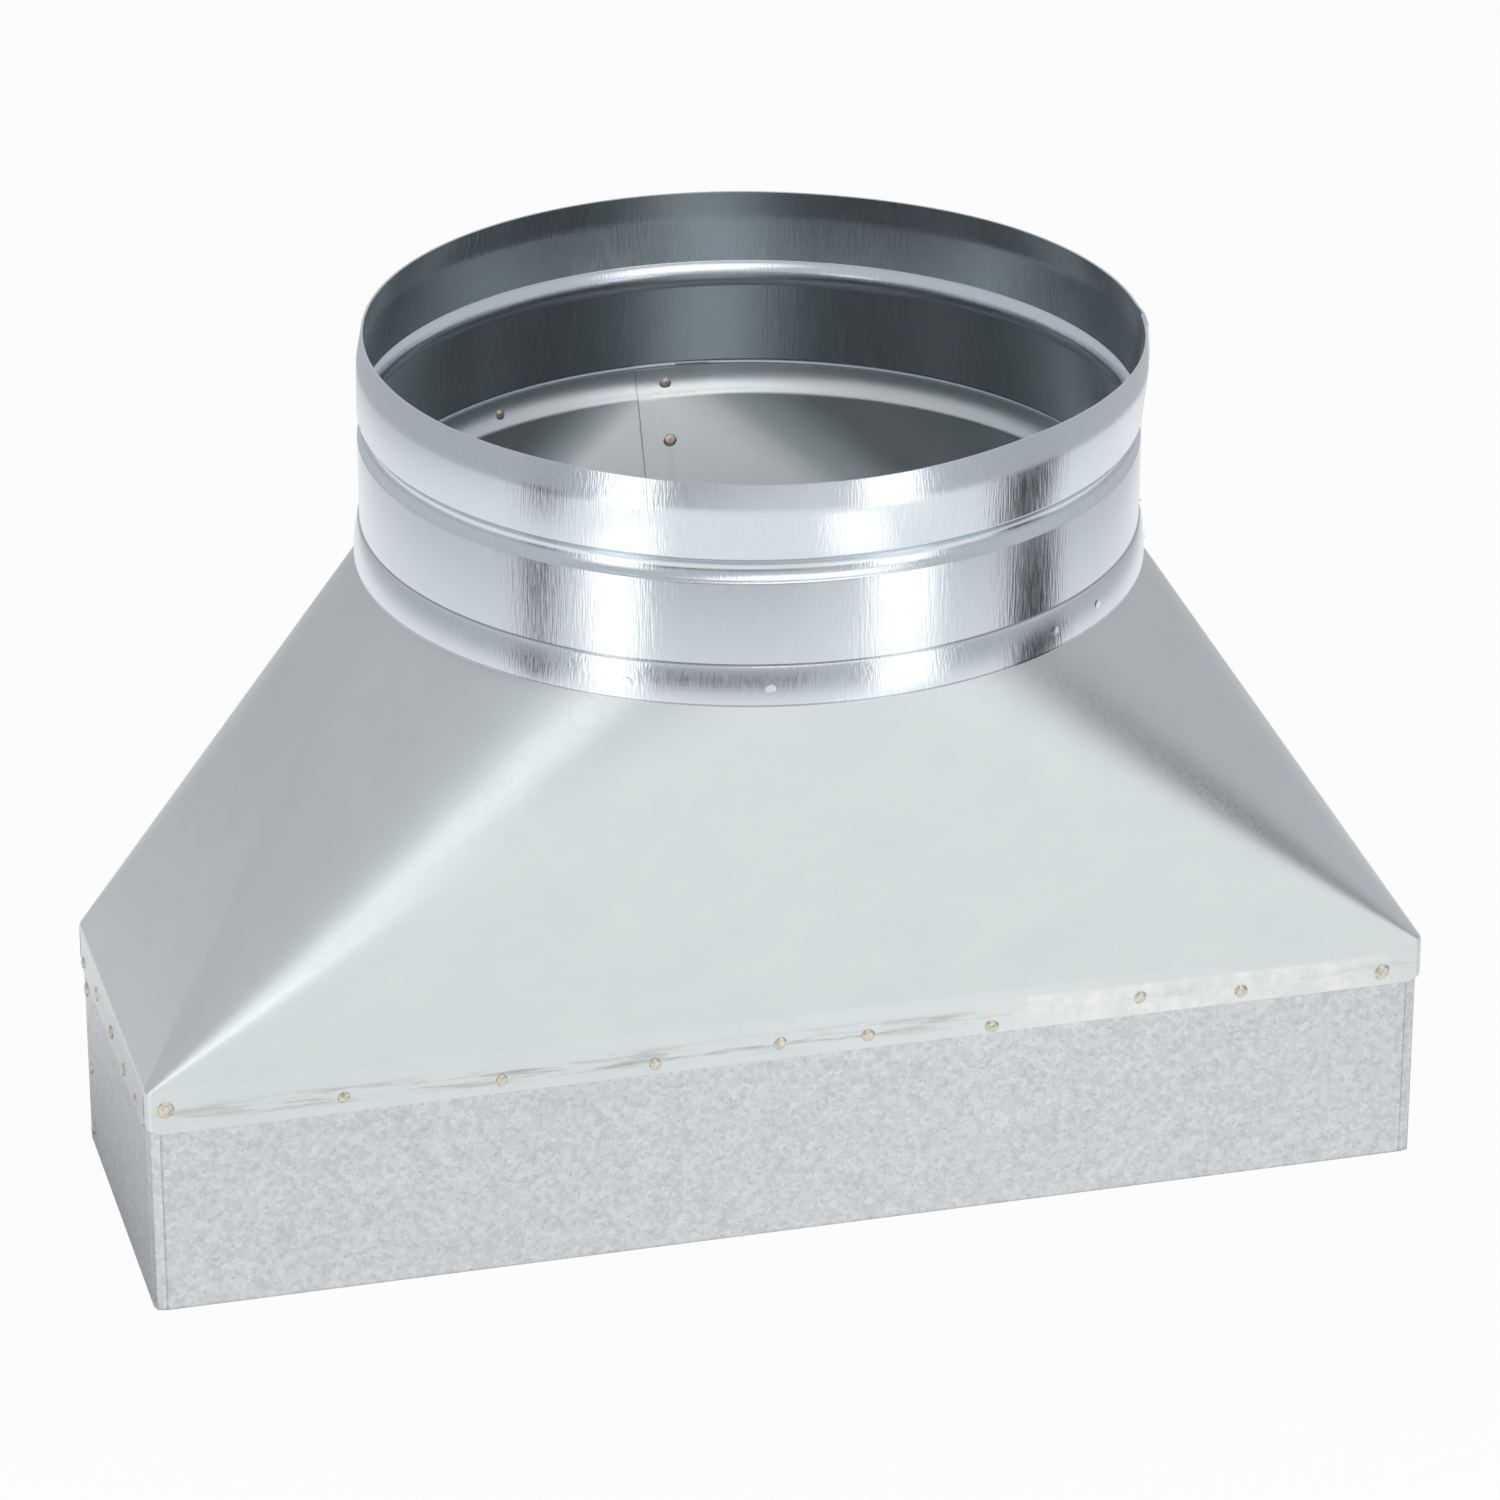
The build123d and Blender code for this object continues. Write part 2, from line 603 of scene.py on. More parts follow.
@dataclass(frozen=True)
class BrightZinc(Finish):
    """Bright rolled galvanised strip. Its grain runs round the collar, so light smears into upright
    stripes, and fine upright flecks break the edges of the stripes. A thin grey line of painted shade
    runs along the collar's foot and in the corner of its joggle.
    """

    light: str = "#DDE5EB"
    dark: str = "#D2DAE0"
    # Painted shade: grey lines at the collar's foot and in the joggle's corner, where shade falls.
    shade_line: str = "#AFB4B8"
    shade_line_heights: tuple = (218.9, 231.6)
    shade_line_reach: float = 0.3
    streak_width: float = 0.6
    streak_length: float = 8.0
    streak_edge: tuple = (0.3, 0.7)
    streak_depth: float = 0.05
    gloss_spread: float = 0.04
    anisotropy: float = 0.6
    quarter_turn: float = 0.25

    def paint(self, tree: NodeTree, shader: Node, place: NodeSocket) -> None:
        """Adds the grain round the collar, the upright flecks and the two lines of painted shade."""
        stretch = add_node(
            tree,
            "ShaderNodeMapping",
            {
                "Vector": place,
                "Scale": (per_mm(self.streak_width), per_mm(self.streak_width), per_mm(self.streak_length)),
            },
        )
        streaks = add_node(
            tree,
            "ShaderNodeTexNoise",
            {"Vector": stretch.outputs[0], "Scale": 1.0, "Detail": 2.0, "Roughness": 0.5},
        )
        base = add_node(
            tree,
            "ShaderNodeMix",
            {0: streaks.outputs["Fac"], 6: colour(self.dark), 7: colour(self.light)},
            data_type="RGBA",
        )
        height = add_node(tree, "ShaderNodeSeparateXYZ", {0: place}).outputs["Z"]
        # Painted shade: a thin grey band at each height darkens the crease at the foot and in the joggle.
        for line in self.shade_line_heights:
            near = add_node(
                tree,
                "ShaderNodeMath",
                {0: height, 1: line * MM, 2: self.shade_line_reach * MM},
                operation="COMPARE",
            )
            base = add_node(
                tree,
                "ShaderNodeMix",
                {0: near.outputs[0], 6: base.outputs[2], 7: colour(self.shade_line)},
                data_type="RGBA",
            )
        tree.links.new(base.outputs[2], shader.inputs["Base Color"])
        gloss = add_node(
            tree,
            "ShaderNodeMapRange",
            {
                "Value": streaks.outputs["Fac"],
                "From Min": self.streak_edge[0],
                "From Max": self.streak_edge[1],
                "To Min": self.roughness - self.gloss_spread,
                "To Max": self.roughness + self.gloss_spread,
            },
        )
        tree.links.new(gloss.outputs[0], shader.inputs["Roughness"])
        round_axis = add_node(
            tree, "ShaderNodeVectorMath", {0: (0.0, 0.0, 1.0), 1: place}, operation="CROSS_PRODUCT"
        )
        tree.links.new(round_axis.outputs[0], shader.inputs["Tangent"])
        shader.inputs["Anisotropic"].default_value = self.anisotropy
        shader.inputs["Anisotropic Rotation"].default_value = self.quarter_turn
        ridges = add_node(
            tree,
            "ShaderNodeBump",
            {"Height": streaks.outputs["Fac"], "Strength": 1.0, "Distance": self.streak_depth * MM},
        )
        tree.links.new(ridges.outputs[0], shader.inputs["Normal"])


@dataclass(frozen=True)
class WeldScale(Finish):
    """Burnt zinc on a spot weld. The heat leaves a brassy skin with brown specks."""

    brass: str = "#D2C8B0"
    burnt: str = "#857C6C"
    silver: str = "#E3E1DA"
    speck_size: float = 1.5
    speck_depth: float = 0.2
    burnt_up_to: float = 0.32
    brass_at: float = 0.48
    silver_from: float = 0.66
    batch_size: float = 45.0
    batch_edge: tuple = (0.4, 0.65)
    batch_strength: float = 0.6

    def paint(self, tree: NodeTree, shader: Node, place: NodeSocket) -> None:
        """Adds brassy patches, silver spots and burnt specks, with less burn on some welds."""
        specks = add_node(
            tree,
            "ShaderNodeTexNoise",
            {"Vector": place, "Scale": per_mm(self.speck_size), "Detail": 4.0, "Roughness": 0.65},
        )
        skin = add_node(tree, "ShaderNodeValToRGB", {0: specks.outputs["Fac"]})
        ramp = skin.color_ramp.elements
        ramp[0].position = self.burnt_up_to
        ramp[0].color = colour(self.burnt)
        ramp[1].position = self.silver_from
        ramp[1].color = colour(self.silver)
        ramp.new(self.brass_at).color = colour(self.brass)
        batch = add_node(
            tree, "ShaderNodeTexNoise", {"Vector": place, "Scale": per_mm(self.batch_size), "Detail": 1.0}
        )
        bare = add_node(
            tree,
            "ShaderNodeMapRange",
            {
                "Value": batch.outputs["Fac"],
                "From Min": self.batch_edge[0],
                "From Max": self.batch_edge[1],
                "To Max": self.batch_strength,
            },
        )
        base = add_node(
            tree,
            "ShaderNodeMix",
            {0: bare.outputs[0], 6: skin.outputs[0], 7: colour(self.silver)},
            data_type="RGBA",
        )
        tree.links.new(base.outputs[2], shader.inputs["Base Color"])
        pits = add_node(
            tree,
            "ShaderNodeBump",
            {"Height": specks.outputs["Fac"], "Strength": 0.5, "Distance": self.speck_depth * MM},
        )
        tree.links.new(pits.outputs[0], shader.inputs["Normal"])


SPANGLED_ZINC = SpangledZinc("spangled_galvanised_sheet", 0.42)
SATIN_ZINC = SatinZinc("satin_galvanised_sheet", 0.4)
BRIGHT_ZINC = BrightZinc("bright_rolled_galvanised_strip", 0.22)
WELD_SCALE = WeldScale("burnt_zinc_weld_scale", 0.45)


# Pieces


@dataclass
class RoundCollar:
    """The rolled band: a bell over the neck, a joggle, a plain wall with a bead, and a tapered lip.

    The band's ends lap at the right end of the part, and handling has bent the rim out of round.
    """

    wall_radius: float = 124.4
    bell_radius: float = 124.9
    bell_flare: float = 1.5
    foot: float = 218.5
    bell_top: float = 230.8
    wall_bottom: float = 231.6
    bead_bottom: float = 258.6
    bead_width: float = 8.0
    bead_depth: float = 2.5
    lip_bottom: float = 282.6
    lip_taper: float = 1.6
    lip_bend: float = 1.6
    rim: float = 291.6
    bend_reach: float = 0.45
    bend_steps: int = 3
    arc_steps: int = 8
    steps: int = 240
    seam_angle: float = -8.7
    lap: float = 10.0
    lap_rise: float = 0.75
    lap_fade: float = 8.0
    bends: tuple = (
        (-99.0, 21.0, 3.8),
        (-20.0, 24.0, 3.0),
        (24.0, 22.0, 2.6),
        (115.0, 40.0, 2.0),
        (180.0, 28.0, -1.0),
    )

    def outside_line(self) -> list[Vector]:
        """Gives the band's outer line, from its foot up to its rim."""
        height = self.bell_top - self.foot
        half_bulge = (hypot(height, self.bell_flare) / 2) * (self.bell_flare / height) / 2
        bead_top = self.bead_bottom + self.bead_width
        bell_foot = Vector((self.bell_radius + self.bell_flare, 0, self.foot))
        bell_head = Vector((self.bell_radius, 0, self.bell_top))
        bead_foot = Vector((self.wall_radius, 0, self.bead_bottom))
        bead_head = Vector((self.wall_radius, 0, bead_top))
        line = arc(bell_foot, bell_head, half_bulge, self.arc_steps)
        line.append(Vector((self.wall_radius, 0, self.wall_bottom)))
        line += arc(bead_foot, bead_head, -self.bead_depth, self.arc_steps)
        lip_foot = Vector((self.wall_radius, 0, self.lip_bottom))
        lip_edge = Vector((self.wall_radius - self.lip_taper, 0, self.rim))
        lip = soften([bead_head, lip_foot, lip_edge], self.lip_bend)
        return soften(line + lip[1:2], self.bend_reach, self.bend_steps) + lip[2:]

    def bent_out(self, angle: float, height: float) -> float:
        """Gives how far handling has bent the band outwards.

        Args:
            angle: Bearing round the axis, in degrees.
            height: Height on the band.

        Returns:
            Millimetres outwards, which fade to nothing at the stiff bead.
        """
        bead_middle = self.bead_bottom + self.bead_width / 2
        share = max(0.0, (height - bead_middle) / (self.rim - bead_middle))
        total = 0.0
        for place, reach, amount in self.bends:
            apart = abs((angle - place + 180) % 360 - 180)
            if apart < 2 * reach:
                total += amount * (1 + cos(pi * apart / (2 * reach))) / 2
        return total * share

    def column(self, line: list[Vector], turn: float) -> list[Vector]:
        """Turns the outer line round the axis to one place along the band.

        Args:
            line: The outer line.
            turn: Degrees from the band's inner end.

        Returns:
            The line there, bent as the band is, and lifted where the outer end laps the inner one.
        """
        angle = self.seam_angle - turn
        along = radians(turn - 360) * self.wall_radius
        lift = self.lap_rise * min(1.0, max(0.0, 1 + along / self.lap_fade))
        way = Vector((cos(radians(angle)), sin(radians(angle)), 0))
        column = []
        for point in line:
            radius = point.x + lift + self.bent_out(angle, point.z)
            column.append(way * radius + Vector((0, 0, point.z)))
        return column

    def build(self) -> list[Object]:
        """Extrudes the outer line round the axis, past its start, and gives it its sheet.

        Returns:
            The collar.
        """
        mesh = bmesh.new()
        line = self.outside_line()
        whole_turn = 360 * (1 + self.lap / (2 * pi * self.wall_radius))
        edges = wire(mesh, self.column(line, 0), closed=False)
        for step in range(1, self.steps + 1):
            edges = extrude_to(mesh, edges, self.column(line, whole_turn * step / self.steps))
        face_outwards(mesh)
        thicken(mesh, SHEET)
        return [make_piece("rolled_collar", mesh, BRIGHT_ZINC, "round_collar")]


@dataclass
class TransitionBody:
    """The folded body: four flat triangles, coned corners, a skirt parted by slits, and a neck.

    It is one sheet whose ends lap at the middle of the back. The outer end comes from the left,
    and the inner end from the right.
    """

    skirt_length: float = 425.1
    skirt_width: float = 125.1
    skirt_bend: float = 2.4
    neck_radius: float = 124.1
    neck_flat: float = 0.2
    step_top: float = 227.9
    step_radius: float = 9.0
    step_turn: float = 52.0
    step_rows: int = 5
    skirt_bottom: float = 64.0
    skirt_top: float = 79.0
    neck_top: float = 230.0
    bend_reach: float = 1.0
    slit_width: float = 1.2
    slit_top: float = 77.0
    mouth_width: float = 9.0
    mouth_height: float = 3.5
    lap: float = 14.0
    lap_fade: float = 14.0
    lap_depth: float = 0.75
    seam_gap: float = 0.3
    corner_steps: int = 40
    run_margin: float = 2.0
    wall_slack: float = 0.1
    bend_slack: float = 0.01
    merge_reach: float = 0.001

    def slit_place(self) -> float:
        """Gives how far each slit stands from the middle of its end wall."""
        return self.skirt_width / 2 - self.skirt_bend - self.slit_width / 2

    def run_shares(self, is_end: bool) -> list[float]:
        """Gives where the points between two corners stand, as shares of that run.

        Args:
            is_end: Whether the run is an end wall, which has the slits.

        Returns:
            Shares from 0 to 1, without the ends.
        """
        if is_end:
            run = self.skirt_width - 2 * self.skirt_bend
            steps = (self.slit_width, (self.mouth_width + self.slit_width) / 2)
        else:
            run = self.skirt_length - 2 * self.skirt_bend
            steps = (self.run_margin,)
        shares = [step / run for step in steps]
        return shares + [1 - share for share in reversed(shares)]

    def on_back(self, x: float, length: float, width: float, bend: float, height: float) -> Vector:
        """Gives a point of a ring on the middle of the back, near the seam.

        Args:
            x: Its place along X.
            length: The ring's size along X.
            width: Its size along Y.
            bend: Radius of its corners.
            height: Its height.

        Returns:
            The point, on the flat run where that is wide enough, and else on the corner's curve.
        """
        past_run = max(0.0, abs(x) - (length / 2 - bend))
        drop = bend - (bend**2 - past_run**2) ** 0.5
        return Vector((x, width / 2 - drop, height))

    def ring(
        self, length: float, width: float, bend: float, height: float, on_skirt: bool = False
    ) -> list[Vector]:
        """Gives the points round the body at one height, the same number for any size.

        Args:
            length: Size along X.
            width: Size along Y.
            bend: Radius of its corners.
            height: Height of the ring.
            on_skirt: Whether the sheet's ends meet here edge to edge, and don't lap.

        Returns:
            The points, from the sheet's outer end round to its inner end.
        """
        size = (length, width, bend, height)
        signs = ((-1, 1), (-1, -1), (1, -1), (1, 1))
        middles = [Vector((sx * (length / 2 - bend), sy * (width / 2 - bend), height)) for sx, sy in signs]
        half_lap = self.lap / 2
        points = [self.on_back(x, *size) for x in (half_lap, half_lap / 2, 0)]
        for corner, middle in enumerate(middles):
            for step in range(self.corner_steps + 1):
                angle = radians(90 * (corner + 1 + step / self.corner_steps))
                points.append(middle + bend * Vector((cos(angle), sin(angle), 0)))
            if corner < 3:
                angle = radians(90 * (corner + 2))
                out = bend * Vector((cos(angle), sin(angle), 0))
                for share in self.run_shares(is_end=corner != 1):
                    points.append(middle.lerp(middles[corner + 1], share) + out)
        inner_end = len(points) - (self.corner_steps + 1)
        run_share = (length / 2 - bend) / (self.skirt_length / 2 - self.skirt_bend)
        for x in (half_lap + self.lap_fade, half_lap):
            points.append(self.on_back(x * run_share, *size))
        points += [self.on_back(-x, *size) for x in (0, half_lap / 2, half_lap)]
        for number in range(inner_end, len(points)):
            points[number] = self.tuck_in(points[number], on_skirt)
        return points

    def tuck_in(self, point: Vector, on_skirt: bool) -> Vector:
        """Moves a point of the sheet's inner end behind its outer end.

        Args:
            point: The point, on the line of the wall.
            on_skirt: Whether the ends meet here edge to edge.

        Returns:
            The point's place.
        """
        if on_skirt:
            return Vector((max(point.x, self.lap / 2 + self.seam_gap), point.y, point.z))
        share = (self.lap / 2 + self.lap_fade - point.x) / self.lap_fade
        return point - Vector((0, self.lap_depth * min(1.0, max(0.0, share)), 0))

    def hem_rise(self, point: Vector) -> float:
        """Gives how far the mouth of a slit lifts the skirt's lower edge at a point."""
        if abs(point.x) < self.skirt_length / 2 - self.skirt_bend - self.bend_slack:
            return 0.0
        from_slit = abs(abs(point.y) - self.slit_place())
        return max(0.0, self.mouth_height * (1 - from_slit / (self.mouth_width / 2)))

    def round_size(self, radius: float) -> tuple[float, float, float]:
        """Gives the length, width and corner radius of a ring that is round but for four short flats."""
        return (2 * radius, 2 * radius, radius - self.neck_flat / 2)

    def step_ring(self, share: float) -> list[Vector]:
        """Gives a row of the curved step that carries the panels out to the neck.

        Args:
            share: 0 at the crease under the step and 1 at its top.

        Returns:
            The row's points.
        """
        turn = radians(self.step_turn * (1 - share))
        radius = self.neck_radius - self.step_radius * (1 - cos(turn))
        return self.ring(*self.round_size(radius), self.step_top - self.step_radius * sin(turn))

    def rings(self) -> list[list[Vector]]:
        """Gives the rows of points from the skirt's lower edge, over the step, up to the neck's edge."""
        skirt = (self.skirt_length, self.skirt_width, self.skirt_bend)
        lowest = self.ring(*skirt, self.skirt_bottom, on_skirt=True)
        hem = [point + Vector((0, 0, self.hem_rise(point))) for point in lowest]
        slit = self.ring(*skirt, self.slit_top, on_skirt=True)
        shoulder = self.ring(*skirt, self.skirt_top)
        step = [self.step_ring(row / self.step_rows) for row in range(self.step_rows + 1)]
        rises = [soften(list(line), self.bend_reach) for line in zip(slit, shoulder, *step[:2])]
        edge = self.ring(*self.round_size(self.neck_radius), self.neck_top)
        return [hem] + [list(row) for row in zip(*rises)] + step[2:] + [edge]

    def build(self) -> list[Object]:
        """Extrudes the rows upwards, opens the slits and gives the shell its sheet.

        Returns:
            The body.
        """
        mesh = bmesh.new()
        rows = self.rings()
        edges = wire(mesh, rows[0], closed=False)
        for row in rows[1:]:
            edges = extrude_to(mesh, edges, row)
        end = self.skirt_length / 2 - self.wall_slack
        slits = []
        for face in mesh.faces:
            middle = face.calc_center_median() / MM
            beside = abs(abs(middle.y) - self.slit_place())
            if middle.z < self.slit_top and abs(middle.x) > end and beside < self.slit_width / 2:
                slits.append(face)
        bmesh.ops.delete(mesh, geom=slits, context="FACES")
        bmesh.ops.remove_doubles(mesh, verts=mesh.verts, dist=self.merge_reach * MM)
        face_outwards(mesh)
        thicken(mesh, SHEET)
        return [make_piece("folded_body", mesh, SATIN_ZINC, "transition_body")]


@dataclass
class FlatSpigot:
    """The folded strip: a rectangle whose end is tucked behind its left wall."""

    length: float = 423.5
    width: float = 123.5
    height: float = 78.0
    bend: float = 1.6
    seam_setback: float = 2.4
    tuck: float = 15.0
    lap_gap: float = 0.1
    crease_from_corner: float = 4.0
    crease_width: float = 0.9
    crease_depth: float = 0.35
    creased_run: float = 30.0
    bend_steps: int = 6

    def strip(self) -> list[Vector]:
        """Gives the strip's outer line on the floor, from its free edge round to its tucked end."""
        left = -self.length / 2
        right = self.length / 2
        front = -self.width / 2
        back = self.width / 2
        tucked = left + SHEET + self.lap_gap
        setback = self.seam_setback + SHEET / 2
        corners = [
            Vector((left, back - setback, 0)),
            Vector((left, front, 0)),
            Vector((right, front, 0)),
            Vector((right, back, 0)),
            Vector((tucked, back, 0)),
            Vector((tucked, back - self.tuck, 0)),
        ]
        return self.creased(corners)

    def creased(self, corners: list[Vector]) -> list[Vector]:
        """Rounds the strip's corners and marks the brake's crease beside each of them.

        Args:
            corners: The strip's ends and sharp corners.

        Returns:
            Points of the folded line.
        """
        points = [corners[0]]
        for before, corner, after in zip(corners, corners[1:], corners[2:]):
            back_along = (before - corner).normalized()
            ahead = (after - corner).normalized()
            has_crease = min((before - corner).length, (after - corner).length) > self.creased_run
            if has_crease:
                points += self.crease(corner, back_along, ahead)
            start = corner + back_along * self.bend
            end = corner + ahead * self.bend
            middle = start + end - corner
            turn = [start - middle, end - middle]
            for step in range(self.bend_steps + 1):
                points.append(middle + turn[0].slerp(turn[1], step / self.bend_steps))
            if has_crease:
                points += reversed(self.crease(corner, ahead, back_along))
        points.append(corners[-1])
        return points

    def crease(self, corner: Vector, along: Vector, inwards: Vector) -> list[Vector]:
        """Gives the shallow groove beside a corner.

        Args:
            corner: The sharp corner.
            along: The way from the corner to the groove.
            inwards: The way that the groove sinks.

        Returns:
            Three points, the farthest from the corner first.
        """
        middle = corner + along * self.crease_from_corner
        half = along * self.crease_width / 2
        return [middle + half, middle + inwards * self.crease_depth, middle - half]

    def build(self) -> list[Object]:
        """Extrudes the strip upwards and gives it its sheet.

        Returns:
            The spigot.
        """
        mesh = bmesh.new()
        line = self.strip()
        edges = wire(mesh, line, closed=False)
        extrude_to(mesh, edges, [point + Vector((0, 0, self.height)) for point in line])
        face_outwards(mesh)
        thicken(mesh, SHEET)
        return [make_piece("folded_spigot", mesh, SPANGLED_ZINC, "rect_spigot")]


@dataclass(frozen=True)
class Weld:
    """One spot weld: the middle of its place on a sheet's face, the way that face looks, and its size."""

    place: Vector
    out: Vector
    size: float = 4.4
    rise: float = 0.8


@dataclass
class SpotWelds:
    """The spot welds along the skirt, up both sheet seams, and round the neck and the bell."""

    skirt_length: float = 425.1
    skirt_width: float = 125.1
    skirt_top: float = 79.0
    spigot_length: float = 423.5
    panel_lean: float = 22.28
    neck_inside: float = 122.8
    bell_outside: float = 126.1
    bell_middle: float = 224.5
    corner_place: float = 190.0
    corner_size: float = 6.2
    mark_size: float = 3.2
    mark_rise: float = 0.06
    cap_flat: float = 0.8
    cap_sizes: tuple = (0.46, 0.54)
    cap_ovals: tuple = (0.8, 1.0)
    cap_wobble: float = 0.06
    lap_slack: float = 0.05
    front: tuple = (
        (-206.0, 72.4),
        (-148.9, 69.3),
        (-97.7, 68.5),
        (-47.4, 67.5),
        (-6.0, 69.6),
        (23.4, 68.6),
        (65.1, 66.4),
        (115.4, 70.2),
        (150.0, 68.1),
        (198.6, 68.7),
    )
    left: tuple = ((53.5, 68.1), (27.9, 69.3), (0.0, 69.4), (-22.8, 67.5), (-44.0, 67.0))
    spigot_seam: tuple = ((53.5, 5.7), (52.0, 29.5), (54.6, 57.5))
    body_seam: tuple = ((2.5, 207.0), (1.5, 163.0), (3.0, 122.0), (2.0, 90.0))
    on_neck: tuple = (88.6, 117.6, -121.7, -101.7, -56.0, -45.0)
    rng: random.Random = field(default_factory=lambda: random.Random(7))

    def nugget(self, mesh: BMesh, weld: Weld) -> None:
        """Adds one weld's raised cap, half sunk in the sheet.

        Args:
            mesh: The mesh that gets it.
            weld: The weld.
        """
        turn = weld.out.to_track_quat("Z", "Y").to_matrix().to_4x4()
        spin = Matrix.Rotation(self.rng.uniform(0, pi), 4, "Z")
        half = weld.size * self.rng.uniform(*self.cap_sizes) * MM
        other_half = half * self.rng.uniform(*self.cap_ovals)
        grow = Matrix.Diagonal((half, other_half, weld.rise / self.cap_flat * MM, 1))
        caps = bmesh.ops.create_icosphere(mesh, subdivisions=3, radius=1)["verts"]
        for cap in caps:
            wobble = 1 + self.rng.uniform(-self.cap_wobble, self.cap_wobble)
            cap.co = Vector((cap.co.x * wobble, cap.co.y * wobble, min(cap.co.z, self.cap_flat)))
        put = Matrix.Translation(weld.place * MM) @ turn @ spin @ grow
        bmesh.ops.transform(mesh, verts=caps, matrix=put)

    def build_row(self, name: str, finish: Finish, welds: list[Weld]) -> Object:
        """Makes one piece of a row of welds.

        Args:
            name: The piece's name.
            finish: What the welds look like.
            welds: The welds.

        Returns:
            The piece.
        """
        mesh = bmesh.new()
        for weld in welds:
            self.nugget(mesh, weld)
        return make_piece(name, mesh, finish)

    def on_skirt(self) -> list[Weld]:
        """Gives the welds along the skirt. The back and the right end repeat the sides that show."""
        end = self.skirt_length / 2
        side = self.skirt_width / 2
        ahead = Vector((0, -1, 0))
        left = Vector((-1, 0, 0))
        welds = []
        for x, z in self.front:
            size = self.corner_size if abs(x) > self.corner_place else Weld.size
            welds.append(Weld(Vector((x, -side, z)), ahead, size))
            welds.append(Weld(Vector((-x, side, z)), -ahead, size))
        for y, z in self.left:
            welds.append(Weld(Vector((-end, y, z)), left))
            welds.append(Weld(Vector((end, -y, z)), -left))
        return welds

    def on_spigot_seam(self) -> list[Weld]:
        """Gives the welds up the flat spigot's seam."""
        end = self.spigot_length / 2
        return [Weld(Vector((-end, y, z)), Vector((-1, 0, 0))) for y, z in self.spigot_seam]

    def on_body_seam(self) -> list[Weld]:
        """Gives the welds up the body's seam, outside and inside."""
        lean = radians(self.panel_lean)
        out = Vector((0, cos(lean), -sin(lean)))
        through = out * (2 * SHEET + self.lap_slack)
        welds = []
        for x, z in self.body_seam:
            y = self.skirt_width / 2 + (z - self.skirt_top) * sin(lean) / cos(lean)
            place = Vector((x, y, z))
            welds.append(Weld(place, out))
            welds.append(Weld(place - through, -out))
        return welds

    def round_neck(self, radius: float) -> list[tuple[Vector, Vector]]:
        """Gives places round the neck at the height of its welds.

        Args:
            radius: How far they are from the axis.

        Returns:
            Each place, and the way out from the axis there.
        """
        places = []
        for bearing in self.on_neck:
            angle = radians(bearing)
            way = Vector((cos(angle), sin(angle), 0))
            places.append((way * radius + Vector((0, 0, self.bell_middle)), way))
        return places

    def build(self) -> list[Object]:
        """Makes every row.

        Returns:
            The rows.
        """
        in_neck = [Weld(place, -way) for place, way in self.round_neck(self.neck_inside)]
        on_lap = in_neck[0]
        in_neck[0] = Weld(on_lap.place + on_lap.out * SHEET, on_lap.out)
        on_bell = []
        for place, way in self.round_neck(self.bell_outside):
            on_bell.append(Weld(place, way, self.mark_size, self.mark_rise))
        return [
            self.build_row("skirt_spot_welds", WELD_SCALE, self.on_skirt()),
            self.build_row("spigot_seam_welds", WELD_SCALE, self.on_spigot_seam()),
            self.build_row("body_seam_welds", WELD_SCALE, self.on_body_seam()),
            self.build_row("neck_welds", WELD_SCALE, in_neck),
            self.build_row("bell_weld_marks", BRIGHT_ZINC, on_bell),
        ]


# Studio


@dataclass(frozen=True)
class Softbox:
    """One lamp that looks at the collar.

    Attributes:
        name: The lamp's name.
        azimuth: Its bearing, 0 in front of the part and 90 at its right end, in degrees.
        elevation: Its angle above the level of the collar's bead, in degrees.
        away: How far it is from the axis at that level.
        width: Its size across.
        height: Its size up and down.
        power: Its power, in watts.
        tint: The colour of its light.
    """

    name: str
    azimuth: float
    elevation: float
    away: float
    width: float
    height: float
    power: float
    tint: str = "#FFFFFF"


